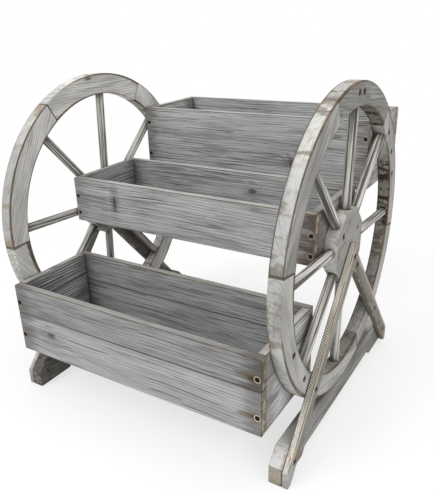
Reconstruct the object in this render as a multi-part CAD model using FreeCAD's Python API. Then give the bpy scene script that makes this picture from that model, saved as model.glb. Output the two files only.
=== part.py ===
"""Three-tier flower cart stand: planter boxes carried between two wagon wheels.

The stand is free-standing and rigid. Each side is a flat frame of one stock
thickness: a rim of curved felloes, round spokes seated in an octagonal hub,
and a runner on the floor that cradles the rim. Two straps, the legs, lie on
the outer face of that frame and tie the hub to the ends of the runner. Three
open boxes fill the space between the frames and hold them upright.

Units are millimetres. X runs across the stand, from the left wheel to the
right one. Y runs back from the low box to the high one, and Z is up. The
origin is on the floor, under the middle of the stand. Inside the functions,
y is measured from the line through the two wheel centres; finish_and_export
moves each piece by axle_y so that the origin falls in the middle.
"""
import math
import os

import FreeCAD
import Part

# ---------------------------------------------------------------- driving sizes
# Wheels. Angles turn from the back (+Y) up towards +Z, in degrees.
wheel_radius = 300.0
rim_width = 44.0
frame_thickness = 26.0
rim_above_floor = 56.0
felloes_per_wheel = 6
seam_angle_right = 50.0
seam_angle_left = 62.0
spokes_per_wheel = 8
wheel_turn = -3.0
arris = 1.6

# Spokes and hub.
spoke_diameter = 18.0
tenon_width = 11.0
tenon_in_hub = 14.0
tenon_in_rim = 12.0
hub_across_flats = 136.0
hub_corner_radius = 6.0

# Runners on the floor.
runner_setback = 10.0
runner_height = 65.0
runner_end_height = 37.0
runner_end_slope = 28.0
pad_length = 90.0
relief_height = 14.0
relief_slope = 12.0

# Legs, the flat straps from the hub to the ends of the runner.
leg_width = 32.0
leg_thickness = 12.0
leg_foot_height = 34.0
leg_overrun = 7.0

# Planter boxes.
box_length = 572.0
box_depth = 208.0
board = 16.0
bottom_board = 12.0
bottom_rise = 3.0
bottom_groove = 4.0
drain_gap = 8.0
board_arris = 1.4

# The low box stands out in front of the rims and the top box behind them.
# Heights of the box bottoms are measured from the wheel centre.
low_box_overhang = 15.0
low_box_bottom_drop = 239.0
low_plank = 90.0
high_plank = 62.0
side_seam_raise = 15.0

middle_box_front_reach = 112.0
middle_box_bottom_drop = 9.0
middle_plank = 99.0

top_box_overhang = 70.0
top_box_bottom_rise = 58.0
top_plank = 145.0

# Cut nails: square shanks under square heads, driven below the surface.
nail_shank = 3.6
nail_head = 7.4
nail_head_thickness = 1.8
nail_sink = 2.2
box_nail_length = 28.0
wheel_nail_length = 34.0
crown_nail_length = 22.0

# Where the nails go. Heights are above the bottom of the box.
low_box_rim_nails = (8.0, 57.0, 133.0)
top_box_rim_nails = (17.0, 70.0, 117.0)
rim_nail_inset = 28.0
hub_nail_inset = 21.0
hub_nail_angles = (27.0, 143.0)
crown_nail_inset = 19.0
crown_nail_spread = 2.6
foot_nail_inset = 24.0
mitre_nail_inset = 15.0

# Clearances.
mortise_clearance = 0.15
nail_clearance = 0.15
cradle_clearance = 0.3
slot_clearance = 0.2

# ---------------------------------------------------------------- derived places
inner_radius = wheel_radius - rim_width
wheel_centre_height = rim_above_floor + wheel_radius
runner_half_length = wheel_radius - runner_setback
frame_inner_x = box_length / 2
frame_outer_x = frame_inner_x + frame_thickness
frame_middle_x = frame_inner_x + frame_thickness / 2
leg_outer_x = frame_outer_x + leg_thickness
felloe_sweep = 360.0 / felloes_per_wheel
spoke_step = 360.0 / spokes_per_wheel
spoke_angles = [wheel_turn + spoke_step * n for n in range(spokes_per_wheel)]
hub_flat_radius = hub_across_flats / 2
low_box_front = -(wheel_radius + low_box_overhang)
top_box_back = wheel_radius + top_box_overhang
axle_y = -(low_box_front + top_box_back) / 2

# A leg's upper edge runs from the top of its foot to the wheel centre.
leg_slope = math.atan2(wheel_centre_height - leg_foot_height, runner_half_length)
leg_along = (math.cos(leg_slope), math.sin(leg_slope))
leg_across = (math.sin(leg_slope), -math.cos(leg_slope))

ACROSS = FreeCAD.Vector(1, 0, 0)
UP = FreeCAD.Vector(0, 0, 1)
SIDES = {"right": 1, "left": -1}


# ---------------------------------------------------------------- small helpers
def point(y, z, x=0.0):
    return FreeCAD.Vector(x, y, z)


def on_wheel(radius, angle, x=0.0):
    """The point at a radius and an angle from the wheel's centre."""
    turn = math.radians(angle)
    return point(radius * math.cos(turn), wheel_centre_height + radius * math.sin(turn), x)


def plate(outline, x_start, thickness):
    """A flat plate: an outline of (y, z) points, given a thickness along X."""
    corners = [point(y, z, x_start) for y, z in outline]
    face = Part.Face(Part.makePolygon(corners + corners[:1]))
    return face.extrude(ACROSS * thickness)


def block(x_size, y_size, z_size, corner):
    return Part.makeBox(x_size, y_size, z_size, corner)


def ease_edges(solid, size):
    """Takes the sharp arris off every edge of a plain board or plate."""
    return solid.makeChamfer(size, solid.Edges)


def rod(radius, start, end):
    """A round bar or a round cutter from one point to another."""
    along = end - start
    return Part.makeCylinder(radius, along.Length, start, along)


def square_bar(width, start, end, upright):
    """A square bar between two points, with two faces square to upright."""
    up = upright * (width / 2)
    side = (end - start).cross(upright).normalize() * (width / 2)
    corners = [start + up + side, start + up - side, start - up - side, start - up + side]
    face = Part.Face(Part.makePolygon(corners + corners[:1]))
    return face.extrude(end - start)


def cut_all(solid, cutters):
    """Cuts only with the cutters that reach the solid."""
    near = [tool for tool in cutters if tool.BoundBox.intersect(solid.BoundBox)]
    return solid.cut(near) if near else solid


def crossing(point_a, along_a, point_b, along_b):
    """Where two lines in the wheel's plane cross, as (y, z)."""
    spread = along_a[0] * along_b[1] - along_a[1] * along_b[0]
    gap_y = point_b[0] - point_a[0]
    gap_z = point_b[1] - point_a[1]
    travel = (gap_y * along_b[1] - gap_z * along_b[0]) / spread
    return (point_a[0] + along_a[0] * travel, point_a[1] + along_a[1] * travel)


def step(start, along, distance):
    return (start[0] + along[0] * distance, start[1] + along[1] * distance)


# ---------------------------------------------------------------- nails
# Each nail is a start on the surface, a direction to drive it and a length.
def box_nails():
    """Nails through the long boards into the ends of the side boards."""
    places = []
    for box in planter_boxes():
        for x_side in SIDES.values():
            x = x_side * (box_length / 2 - board / 2)
            for height in box["nails"]:
                z = box["bottom"] + height
                places.append((point(box["front"], z, x), point(1, 0), box_nail_length))
                back = point(box["front"] + box_depth, z, x)
                places.append((back, point(-1, 0), box_nail_length))
    return places


def leg_nail_places(is_front):
    """Where a leg is nailed down, as (y, z): at its foot, on the rim and on the hub."""
    middle = step((-runner_half_length, leg_foot_height), leg_across, leg_width / 2)
    to_centre = math.hypot(runner_half_length, wheel_centre_height - leg_foot_height)
    rim_middle = (wheel_radius + inner_radius) / 2
    to_rim = to_centre - math.sqrt(rim_middle ** 2 - (leg_width / 2) ** 2)
    to_hub = to_centre + leg_overrun - foot_nail_inset
    if not is_front:
        # The rear leg ends at the mitre, so its last nail sits short of that.
        meeting = crossing(middle, leg_along, mitre_line()[0], mitre_line()[1])
        to_hub = math.hypot(meeting[0] - middle[0], meeting[1] - middle[1]) - mitre_nail_inset
    places = [step(middle, leg_along, along) for along in (foot_nail_inset, to_rim, to_hub)]
    return places if is_front else [(-y, z) for y, z in places]


def on_rim(z, y_side):
    """The point at a height z on the rim's line of nails, ahead of or behind the hub."""
    radius = wheel_radius - rim_nail_inset
    return point(y_side * math.sqrt(radius ** 2 - (z - wheel_centre_height) ** 2), z)


def wheel_nails():
    """Nails through rims and hubs into the boxes, in the crowns and through the legs."""
    places = []
    low_box, _, top_box = planter_boxes()
    rim = [on_rim(low_box["bottom"] + height, -1) for height in low_box_rim_nails]
    rim += [on_rim(top_box["bottom"] + height, 1) for height in top_box_rim_nails]
    hub_face = [on_wheel(hub_flat_radius - hub_nail_inset, a) for a in hub_nail_angles]
    crown = [on_wheel(wheel_radius - crown_nail_inset, 90 + wheel_turn + spread)
             for spread in (-crown_nail_spread, crown_nail_spread)]
    legs = leg_nail_places(True) + leg_nail_places(False)
    for x_side in SIDES.values():
        inward = ACROSS * -x_side
        face = ACROSS * (x_side * frame_outer_x)
        leg_face = ACROSS * (x_side * leg_outer_x)
        places += [(spot + face, inward, wheel_nail_length) for spot in rim + hub_face]
        places += [(spot + face, inward, crown_nail_length) for spot in crown]
        places += [(point(y, z) + leg_face, inward, wheel_nail_length) for y, z in legs]
    return places


def nail(place):
    start, inward, length = place
    head = start + inward * nail_sink
    under_head = head + inward * nail_head_thickness
    solid = square_bar(nail_head, head, under_head, UP)
    return solid.fuse(square_bar(nail_shank, under_head, head + inward * length, UP))


def nail_hole(place):
    """Open above the sunk head, and as deep as the nail with a little room."""
    start, inward, length = place
    room = 2 * nail_clearance
    seat = start + inward * (nail_sink + nail_head_thickness + nail_clearance)
    tip = start + inward * (nail_sink + length + nail_clearance)
    recess = square_bar(nail_head + room, start - inward, seat, UP)
    return recess.fuse(square_bar(nail_shank + room, start, tip, UP))


# ---------------------------------------------------------------- wheel pieces
def felloe(start_angle):
    """One curved length of rim, with the arris of its tread taken off."""
    r_in, r_out = inner_radius, wheel_radius
    x_in, x_out = frame_inner_x, frame_outer_x
    section = [
        (x_in, r_in), (x_out, r_in), (x_out, r_out - arris),
        (x_out - arris, r_out), (x_in, r_out),
    ]
    corners = [on_wheel(radius, start_angle, x) for x, radius in section]
    face = Part.Face(Part.makePolygon(corners + corners[:1]))
    return face.revolve(on_wheel(0, 0), ACROSS, felloe_sweep)


def spoke_shoulder_radius():
    """Where the round shoulder of a spoke meets the hollow face of the rim."""
    return math.sqrt(inner_radius ** 2 - (spoke_diameter / 2) ** 2)


def spoke(angle):
    """A round dowel with a square tenon at each end."""
    body = rod(spoke_diameter / 2, on_wheel(hub_flat_radius, angle, frame_middle_x),
               on_wheel(spoke_shoulder_radius(), angle, frame_middle_x))
    return body.fuse(tenon_bar(angle, 0.0))


def tenon_bar(angle, room):
    """A square bar on a spoke's line, from the hub's mortise to the rim's."""
    return square_bar(tenon_width + 2 * room,
                      on_wheel(hub_flat_radius - tenon_in_hub - room, angle, frame_middle_x),
                      on_wheel(inner_radius + tenon_in_rim + room, angle, frame_middle_x),
                      ACROSS)


def hub():
    """An octagonal block: each spoke meets one flat, and the corners are rounded."""
    half_step = spoke_step / 2
    corner_radius = hub_flat_radius / math.cos(math.radians(half_step))
    corners = [on_wheel(corner_radius, a + half_step) for a in spoke_angles]
    outline = [(c.y, c.z) for c in corners]
    solid = plate(outline, frame_inner_x, frame_thickness)
    corner_edges = [e for e in solid.Edges if abs(e.tangentAt(e.FirstParameter).x) > 0.9]
    return solid.makeFillet(hub_corner_radius, corner_edges)


# ---------------------------------------------------------------- runner and legs
def runner():
    """The floor beam: sloped ends, a pad under each end and a cradle for the rim."""
    end = runner_half_length
    pad = end - pad_length
    half = [
        (pad - relief_slope, relief_height), (pad, 0), (end, 0),
        (end, runner_end_height), (end - runner_end_slope, runner_height),
    ]
    outline = half + [(-y, z) for y, z in reversed(half)]
    solid = ease_edges(plate(outline, frame_inner_x, frame_thickness), arris)
    cradle = rod(wheel_radius + cradle_clearance, on_wheel(0, 0, frame_inner_x - 1),
                 on_wheel(0, 0, frame_outer_x + 1))
    return solid.cut(cradle)


def front_leg():
    """The leg that runs over the hub's centre, cut upright and flat at its foot."""
    top_of_foot = (-runner_half_length, leg_foot_height)
    to_centre = math.hypot(runner_half_length, wheel_centre_height - leg_foot_height)
    top = step(top_of_foot, leg_along, to_centre + leg_overrun)
    lower_edge = step(top_of_foot, leg_across, leg_width)
    heel = crossing(lower_edge, leg_along, (0, 0), (1, 0))
    outline = [(-runner_half_length, 0), top_of_foot, top,
               step(top, leg_across, leg_width), heel]
    return ease_edges(plate(outline, frame_outer_x, leg_thickness), arris)


def mitre_line():
    """The line that the rear leg is cut to, seen from the rear leg's own side."""
    start = step((runner_half_length, leg_foot_height), (-leg_across[0], leg_across[1]),
                 leg_width + slot_clearance)
    return start, (-leg_along[0], leg_along[1])


def rear_leg():
    """The mirrored leg, cut on a mitre where it meets the front leg's lower edge."""
    top_of_foot = (-runner_half_length, leg_foot_height)
    lower_edge = step(top_of_foot, leg_across, leg_width)
    cut_start, cut_along = mitre_line()
    outline = [
        (-runner_half_length, 0), top_of_foot,
        crossing(top_of_foot, leg_along, cut_start, cut_along),
        crossing(lower_edge, leg_along, cut_start, cut_along),
        crossing(lower_edge, leg_along, (0, 0), (1, 0)),
    ]
    outline = [(-y, z) for y, z in outline]
    return ease_edges(plate(outline, frame_outer_x, leg_thickness), arris)


# ---------------------------------------------------------------- planter boxes
def planter_boxes():
    """Place, planks and nail heights of the three boxes, from the lowest up."""
    centre = wheel_centre_height
    side_planks = {"lower": low_plank + side_seam_raise, "upper": high_plank - side_seam_raise}
    return [
        {"name": "low", "front": low_box_front, "bottom": centre - low_box_bottom_drop,
         "long_planks": {"lower": low_plank, "upper": high_plank},
         "side_planks": side_planks, "nails": (37.0, 113.0)},
        {"name": "middle", "front": -middle_box_front_reach,
         "bottom": centre - middle_box_bottom_drop,
         "long_planks": {"": middle_plank}, "side_planks": {"": middle_plank},
         "nails": (19.0, 58.0)},
        {"name": "top", "front": top_box_back - box_depth,
         "bottom": centre + top_box_bottom_rise,
         "long_planks": {"": top_plank}, "side_planks": {"": top_plank},
         "nails": (30.0, 108.0)},
    ]


def long_boards(box):
    """The front and back, which cover the ends of the side boards."""
    pieces = {}
    z = box["bottom"]
    for level, height in box["long_planks"].items():
        tail = "_" + level if level else ""
        for wall, y in (("front", box["front"]), ("back", box["front"] + box_depth - board)):
            solid = block(box_length, board, height, point(y, z, -box_length / 2))
            pieces[f"{box['name']}_{wall}_board{tail}"] = ease_edges(solid, board_arris)
        z += height
    return pieces


def side_boards(box):
    """The two short ends, grooved on the inside for the bottom boards."""
    pieces = {}
    depth = box_depth - 2 * board
    z = box["bottom"]
    for level, height in box["side_planks"].items():
        tail = "_" + level if level else ""
        for side, x_side in SIDES.items():
            x = box_length / 2 - board if x_side > 0 else -box_length / 2
            solid = block(board, depth, height, point(box["front"] + board, z, x))
            solid = ease_edges(solid, board_arris)
            pieces[f"{box['name']}_{side}_side{tail}"] = solid.cut(groove(box))
        z += height
    return pieces


def groove(box):
    """The slot cut into both side walls, which the ends of the bottom boards sit in."""
    reach = box_length / 2 - board + bottom_groove
    z = box["bottom"] + bottom_rise - slot_clearance
    size = bottom_board + 2 * slot_clearance
    return block(2 * reach, box_depth, size, point(box["front"], z, -reach))


def bottom_planks(box):
    """Two boards side by side, with a gap between them for water to drain."""
    pieces = {}
    length = 2 * (box_length / 2 - board + bottom_groove - slot_clearance)
    inner_depth = box_depth - 2 * board
    width = (inner_depth - drain_gap) / 2 - slot_clearance
    z = box["bottom"] + bottom_rise
    front_y = box["front"] + board + slot_clearance
    back_y = box["front"] + box_depth - board - slot_clearance - width
    for place, y in (("front", front_y), ("back", back_y)):
        solid = block(length, width, bottom_board, point(y, z, -length / 2))
        pieces[f"{box['name']}_bottom_{place}"] = solid
    return pieces


# ---------------------------------------------------------------- assembly
def wheel_nodes(side, seam_angle):
    """A wheel's felloes, hub and spokes, mortised for the tenons."""
    mortises = [tenon_bar(angle, mortise_clearance) for angle in spoke_angles]
    pieces = {f"{side}_hub": cut_all(hub(), mortises)}
    for n in range(felloes_per_wheel):
        solid = felloe(seam_angle + felloe_sweep * n)
        pieces[f"{side}_felloe_{n + 1}"] = cut_all(solid, mortises)
    for n, angle in enumerate(spoke_angles):
        pieces[f"{side}_spoke_{n + 1}"] = spoke(angle)
    return pieces


def side_frame(side):
    """Everything in one flat side frame, made on the right and mirrored for the left."""
    seam_angle = seam_angle_right if side == "right" else seam_angle_left
    pieces = wheel_nodes(side, seam_angle)
    pieces[f"{side}_runner"] = runner()
    pieces[f"{side}_front_leg"] = front_leg()
    pieces[f"{side}_rear_leg"] = rear_leg()
    if side == "left":
        pieces = {name: solid.mirror(point(0, 0), ACROSS) for name, solid in pieces.items()}
    return pieces


def build_all():
    pieces = {}
    for side in SIDES:
        pieces.update(side_frame(side))
    for box in planter_boxes():
        pieces.update(long_boards(box))
        pieces.update(side_boards(box))
        pieces.update(bottom_planks(box))
    holes = [nail_hole(place) for place in box_nails() + wheel_nails()]
    pieces = {name: cut_all(solid, holes) for name, solid in pieces.items()}
    pieces["box_nails"] = Part.makeCompound([nail(place) for place in box_nails()])
    pieces["wheel_nails"] = Part.makeCompound([nail(place) for place in wheel_nails()])
    return pieces


def finish_and_export(pieces):
    os.makedirs("parts", exist_ok=True)
    for name, shape in pieces.items():
        shape.translate(point(axle_y, 0))
        bad = [solid for solid in shape.Solids if not solid.isValid()]
        print(f"{name}: {len(shape.Solids)} solid(s), {shape.Volume / 1000:.1f} cm3"
              + (", NOT VALID" if bad else ""))
        shape.exportStep(f"parts/{name}.step")
    whole = Part.makeCompound(list(pieces.values())).BoundBox
    print(f"{len(pieces)} nodes, {whole.XLength:.1f} x {whole.YLength:.1f} x {whole.ZLength:.1f} mm")


finish_and_export(build_all())
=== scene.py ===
# %% [markdown]
# # A flower cart stand in whitewashed pine
#
# The real object is a garden planter: three open boxes that climb like steps
# between two wooden wagon wheels. Everything on it is rigid, so its shapes come
# from the CAD model as they are. What Blender adds is how the wood looks: the
# grain of each piece in its own direction, thin whitewash over grey weathered
# pine, edges worn to bare wood, dirt in the joints and dark iron nails.

# %% Load the frame
import math

import bmesh
import bpy
from mathutils import Matrix, Vector


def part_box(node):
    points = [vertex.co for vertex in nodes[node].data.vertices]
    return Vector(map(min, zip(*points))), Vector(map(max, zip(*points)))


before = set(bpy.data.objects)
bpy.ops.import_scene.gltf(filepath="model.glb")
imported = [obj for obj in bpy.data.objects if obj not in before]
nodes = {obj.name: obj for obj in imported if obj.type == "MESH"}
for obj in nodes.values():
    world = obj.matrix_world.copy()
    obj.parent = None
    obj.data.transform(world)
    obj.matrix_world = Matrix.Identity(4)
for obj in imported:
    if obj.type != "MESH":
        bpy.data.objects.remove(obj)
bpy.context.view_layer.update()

# %% [markdown]
# ## The camera
#
# A picture tells where its camera stood, if enough points of known shape show
# in it. Here those were the two round rims and the corners of the boxes. The
# camera stands about 1.3 m from the middle of the stand, to the front and right
# of it, and looks down at 23 degrees. It is also rolled by two degrees, as a
# hand-held one is, and the small shift says that the picture was cropped off
# centre.

# %% Camera
image_size = (434, 492)
focal_pixels = 569.4
image_centre = (207.4, 252.9)
camera_place = Vector((0.630, -1.016, 0.771))
azimuth, elevation, roll = math.radians(33.0), math.radians(22.8), math.radians(-2.2)

back = Vector((math.sin(azimuth) * math.cos(elevation),
               -math.cos(azimuth) * math.cos(elevation), math.sin(elevation)))
level_right = Vector((math.cos(azimuth), math.sin(azimuth), 0))
level_up = back.cross(level_right)
right = level_right * math.cos(roll) + level_up * math.sin(roll)
up = level_up * math.cos(roll) - level_right * math.sin(roll)

camera_data = bpy.data.cameras.new("camera")
camera_data.sensor_fit = "VERTICAL"
camera_data.sensor_height = 24.0
camera_data.lens = focal_pixels * camera_data.sensor_height / image_size[1]
camera_data.shift_x = (image_size[0] / 2 - image_centre[0]) / image_size[1]
camera_data.shift_y = (image_centre[1] - image_size[1] / 2) / image_size[1]
camera = bpy.data.objects.new("camera", camera_data)
camera.matrix_world = (Matrix.Translation(camera_place)
                       @ Matrix((right, up, back)).transposed().to_4x4())
bpy.context.scene.collection.objects.link(camera)
bpy.context.scene.camera = camera
print(f"lens {camera_data.lens:.1f} mm, shift {camera_data.shift_x:.4f} {camera_data.shift_y:.4f}")

# %% [markdown]
# ## Where the wheels are
#
# The grain of each curved or slanting piece is laid from the middle of its
# wheel. A hub's box gives that point, and one felloe gives the two radii of the
# rim, so no size has to be written twice.

# %% Wheel centres and rim
millimetres = 1000.0  # In a metre. The frame is in metres, and the wood in millimetres.


def middle_of(name):
    low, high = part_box(name)
    return (Vector(low) + Vector(high)) / 2


wheel_centre = {side: middle_of(f"{side}_hub") for side in ("left", "right")}
reaches = [(vertex.co - wheel_centre["right"]).yz.length * millimetres
           for vertex in nodes["right_felloe_1"].data.vertices]
rim_inside, rim_outside = min(reaches), max(reaches)
half_felloe = math.pi / sum(name.startswith("right_felloe") for name in nodes)
print(f"rim from {rim_inside:.1f} to {rim_outside:.1f} mm,",
      f"felloes of {math.degrees(2 * half_felloe):.0f} degrees")

# %% [markdown]
# ## Which way the grain runs
#
# Wood is sawn along the grain, so each piece has its own direction: along a
# board, up a leg, out along a spoke, and straight across a curved felloe,
# because a felloe is sawn out of a flat plank. Three directions and a start
# are stored on each object, and the materials read them. A seed moves the
# pattern, so that no two pieces look cut from the same place of a tree.

# %% Measure a piece along its grain
def spread(piece, way):
    """The lowest and highest reach of a piece in one direction, in metres."""
    reaches = [vertex.co.dot(way) for vertex in piece.data.vertices]
    return min(reaches), max(reaches)


def lay_grain(piece, along, across, seed):
    along = Vector(along).normalized()
    across = Vector(across).normalized()
    ways = {"along": along, "across": across, "through": along.cross(across)}
    start = Vector()
    half = []
    for name, way in ways.items():
        low, high = spread(piece, way)
        start += way * (low + high) / 2
        half.append((high - low) / 2 * millimetres)
        piece["grain_" + name] = list(way)
    piece["grain_start"] = list(start)
    piece["half_size"] = half
    piece["grain_seed"] = float(seed)


def outward_from_hub(piece, side):
    total = sum((vertex.co for vertex in piece.data.vertices), Vector())
    outward = total / len(piece.data.vertices) - wheel_centre[side]
    outward.x = 0
    return outward


low, high = spread(nodes["low_front_board_upper"], Vector((1, 0, 0)))
print(f"a front board is {(high - low) * millimetres:.0f} mm long")

# %% Lay the grain
foot_height = 0.034  # Of the middle of a leg's lower end.
for seed, name in enumerate(sorted(nodes)):
    piece = nodes[name]
    side = "left" if name.startswith("left") else "right"
    outward = outward_from_hub(piece, side)
    if "felloe" in name:
        lay_grain(piece, outward.cross(Vector((1, 0, 0))), outward, seed)
        from_wheel = Vector(piece["grain_start"]) - wheel_centre[side]
        piece["wheel_middle"] = [0.0, from_wheel.dot(outward.normalized()) * millimetres, 0.0]
    elif "spoke" in name:
        lay_grain(piece, outward, (1, 0, 0), seed)
    elif "_leg" in name:
        low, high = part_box(name)
        foot_y = low[1] if "front" in name else high[1]
        rise = wheel_centre[side] - Vector((wheel_centre[side].x, foot_y, foot_height))
        upward = Vector((1 if "front" in name else -1, 0, 0)).cross(rise)
        lay_grain(piece, rise, upward, seed)
    elif "_hub" in name:
        lay_grain(piece, (0, 1, 0.3), (0, -0.3, 1), seed)
    elif "runner" in name or "_side" in name:
        lay_grain(piece, (0, 1, 0), (0, 0, 1), seed)
    elif "back_board" in name:
        lay_grain(piece, (-1, 0, 0), (0, 0, 1), seed)
    elif "bottom" in name:
        lay_grain(piece, (1, 0, 0), (0, 1, 0), seed)
    else:
        lay_grain(piece, (1, 0, 0), (0, 0, 1), seed)
print("grain laid on", len(nodes), "pieces")

# %% [markdown]
# ## What differs from piece to piece
#
# A knot is a branch that the tree grew round, and it goes where the maker's
# plank happened to have it. Tone is how much lighter or darker a piece is than
# its neighbours, partly from weathering and partly as painted light and shade
# for how much light falls on it. A wide wall is two planks, so each has one edge
# that joins the other, where nothing rubs it. Furrows are the ridges that a
# blunt saw or planer leaves down a board. The two ends of a board are stained
# by water, and some ends more than others. Where much wash is left, a smaller
# share of the grain shows. A rim's tread can be paler or darker than the next
# one, partly as painted light and shade, and rougher, more pitted or more
# banded, and its inside dirtier. A runner's end is worn bare, with its top
# painted pale as light, or left dark. The first list says what is usual. The
# second gives the pieces that differ, by how their names begin. All of it is
# stored on the objects, as the grain is. A place is in millimetres from a
# piece's middle, along and across the grain, and its third number is there
# because a node reads three.

# %% Each piece's own numbers
nowhere = [0.0, 900.0, 0.0]  # Well past the edge of every piece, so that it doesn't show.
usual = {
    "tone": 1.0, "knot": nowhere, "knot_shape": [0.55, 1.0, 0.0],
    "furrows": 0.25, "end_stain": [0.55, 0.55, 0.0], "grain_share": 1.0, "relief": 0.9,
    "tread_pale": 1.0, "pitted": 0.34, "brown_bands": 0.75, "inside_dirt": 0.55}
# Some of these tones stand for light: the middle box's sides and the left runner are darkened as
# painted shade, and the left rim is lightened as painted light.
unusual = {
    "low_front_board_upper": {"tone": 0.70, "grain_share": 0.82, "end_stain": [0.45, 0.80, 0.0]},
    "low_front_board_lower": {"tone": 0.90, "grain_share": 0.48, "knot": [-196.0, 12.0, 0.0]},
    "low_left_side": {"furrows": 1.0},
    "low_right_side": {"furrows": 1.0},
    "low_right_side_upper": {"tone": 1.24},
    "low_right_side_lower": {"tone": 1.46},
    "middle": {"tone": 1.02},
    "middle_front_board": {"end_stain": [0.30, 1.0, 0.0], "knot": [-172.0, 4.0, 0.0],
                           "knot_shape": [1.30, 0.34, 0.0]},
    "middle_back_board": {"knot": [-60.0, 10.0, 0.0]},
    "middle_left_side": {"tone": 0.75},
    "middle_right_side": {"tone": 0.75},
    "top": {"tone": 1.06},
    "top_front_board": {"knot": [120.0, -30.0, 0.0]},
    "top_back_board": {"knot": [150.0, 20.0, 0.0]},
    "left_felloe": {"tone": 1.50, "tread_pale": 0.52},
    "left_felloe_1": {"tread_pale": 0.75, "grain_share": 0.60, "knot": [-22.0, 34.0, 0.0],
                      "knot_shape": [0.55, 1.30, 0.0]},
    "left_felloe_2": {"grain_share": 0.60},
    "left_felloe_3": {"grain_share": 0.60},
    "right_felloe_1": {"tone": 0.74, "inside_dirt": 1.0, "brown_bands": 1.0},
    "right_felloe_2": {"tone": 0.88, "tread_pale": 1.12},
    "right_felloe_3": {"tread_pale": 1.12, "pitted": 0.06, "relief": 0.25, "grain_share": 0.55},
    "right_felloe_4": {"tread_pale": 1.12},
    "right_felloe_6": {"inside_dirt": 1.0, "brown_bands": 1.0},
    "left_runner": {"tone": 0.46, "end_wear": 0.1},
    "right_runner": {"tone": 0.92, "end_wear": 0.85},
    "left_rear_leg": {"tone": 0.70},
    "right_rear_leg": {"tone": 0.95},
    "right_front_leg": {"tone": 1.15}}
for name, piece in nodes.items():
    own = dict(usual, joined_edge={"upper": -1.0, "lower": 1.0}.get(name.split("_")[-1], 0.0))
    for start, numbers in unusual.items():
        if name.startswith(start):
            own.update(numbers)
    for key, value in own.items():
        piece[key] = value
tones = [piece["tone"] for piece in nodes.values()]
print("tones from", min(tones), "to", max(tones))

# %% [markdown]
# ## Where nails come through
#
# Rain runs off an iron nail and stains the wood round it, and the wood that
# was torn when the nail went in stands up as a pale ring. So each long board
# needs to know where its nails are, how far from its middle and how high. They
# are read from the nails themselves. On the low box they show most. The rims,
# hubs and legs have nails too, and those stain only a round spot.

# %% Find the nails
def loose_parts(piece):
    """The middle of each separate solid in a mesh."""
    mesh = bmesh.new()
    mesh.from_mesh(piece.data)
    bmesh.ops.remove_doubles(mesh, verts=mesh.verts, dist=same_corner)
    middles, left = [], set(mesh.verts)
    while left:
        found, edge_of_search = set(), [left.pop()]
        while edge_of_search:
            vertex = edge_of_search.pop()
            found.add(vertex)
            near = {edge.other_vert(vertex) for edge in vertex.link_edges} & left
            left -= near
            edge_of_search.extend(near)
        corners = [vertex.co.copy() for vertex in found]
        middles.append(sum(corners, Vector()) / len(corners))
    mesh.free()
    return middles


same_corner = 0.00001  # Corners of a mesh that are nearer than this, in metres, are one.
box_nail_places = loose_parts(nodes["box_nails"])
wheel_nail_places = loose_parts(nodes["wheel_nails"])
print(len(box_nail_places), "box nails and", len(wheel_nail_places), "wheel nails")

# %% Nails in each board
box_nail_reach = 14.0  # The furthest that a nail's middle is from its board's face.
faint_nail, bold_nail = 0.2, 0.9  # How strongly its ring shows.
for name, piece in nodes.items():
    piece["nail_high"] = piece["nail_low"] = nowhere
    if "_board" not in name:
        continue
    start, half = Vector(piece["grain_start"]), piece["half_size"]
    boldness = bold_nail if name.startswith("low") else faint_nail
    places = []
    for place in box_nail_places:
        off = (place - start) * millimetres
        near_face = abs(off.y) < half[2] + box_nail_reach and abs(off.z) < half[1]
        if near_face and off.x > 0:
            places.append([off.x, off.z, boldness])
    places.sort(key=lambda spot: spot[1])
    piece["nail_low"] = places[0]
    if len(places) > 1:
        piece["nail_high"] = places[1]
print("a nail of the top front board is at",
      [round(number) for number in nodes["top_front_board"]["nail_low"][:2]])

# %% Nails in each rim, hub and leg
wheel_nail_reach = 16.0  # The same for a rim, hub or leg.
nail_spots = ("nail_spot_1", "nail_spot_2", "nail_spot_3")
for name, piece in nodes.items():
    for spot in nail_spots:
        piece[spot] = nowhere
    if not any(word in name for word in ("felloe", "hub", "_leg")):
        continue
    start = Vector(piece["grain_start"])
    ways = [Vector(piece["grain_" + way]) for way in ("along", "across", "through")]
    found = []
    for place in wheel_nail_places:
        off = [(place - start).dot(way) * millimetres for way in ways]
        margins = (0, 0, wheel_nail_reach)
        if all(abs(o) < h + m for o, h, m in zip(off, piece["half_size"], margins)):
            found.append([off[0], off[1], 0.0])
    for spot, place in zip(nail_spots, sorted(found)):
        piece[spot] = place
    if found:
        print(name, "has", len(found), "nails")

# %% [markdown]
# ## A helper for nodes
#
# A material is a small network. This one function adds a node to it, sets what
# it should be, and sets or links its inputs, in order or by name. The names
# below it save writing the same settings again. Another helper turns an sRGB
# hex colour, as a paint program shows it, into Blender's linear numbers. The
# last lays coats over a colour one after the other, as a painter would. Each
# coat is a hex colour and its shares, which are numbers or patterns from 0 to
# 1, and it is as thick as their product.

# %% Node helper, colours and coats
def add(tree, kind, inputs=(), out=0, **settings):
    node = tree.nodes.new("ShaderNode" + kind)
    for name, value in settings.items():
        setattr(node, name, value)
    in_use = [socket for socket in node.inputs if socket.enabled]
    pairs = inputs.items() if isinstance(inputs, dict) else zip(in_use, inputs)
    for socket, value in pairs:
        socket = node.inputs[socket] if isinstance(socket, str) else socket
        if isinstance(value, bpy.types.NodeSocket):
            tree.links.new(value, socket)
        elif value is not None:
            socket.default_value = value
    if isinstance(out, str):
        return node.outputs[out]
    results = [socket for socket in node.outputs if socket.enabled]
    return node if out is None else results[out]


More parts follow.
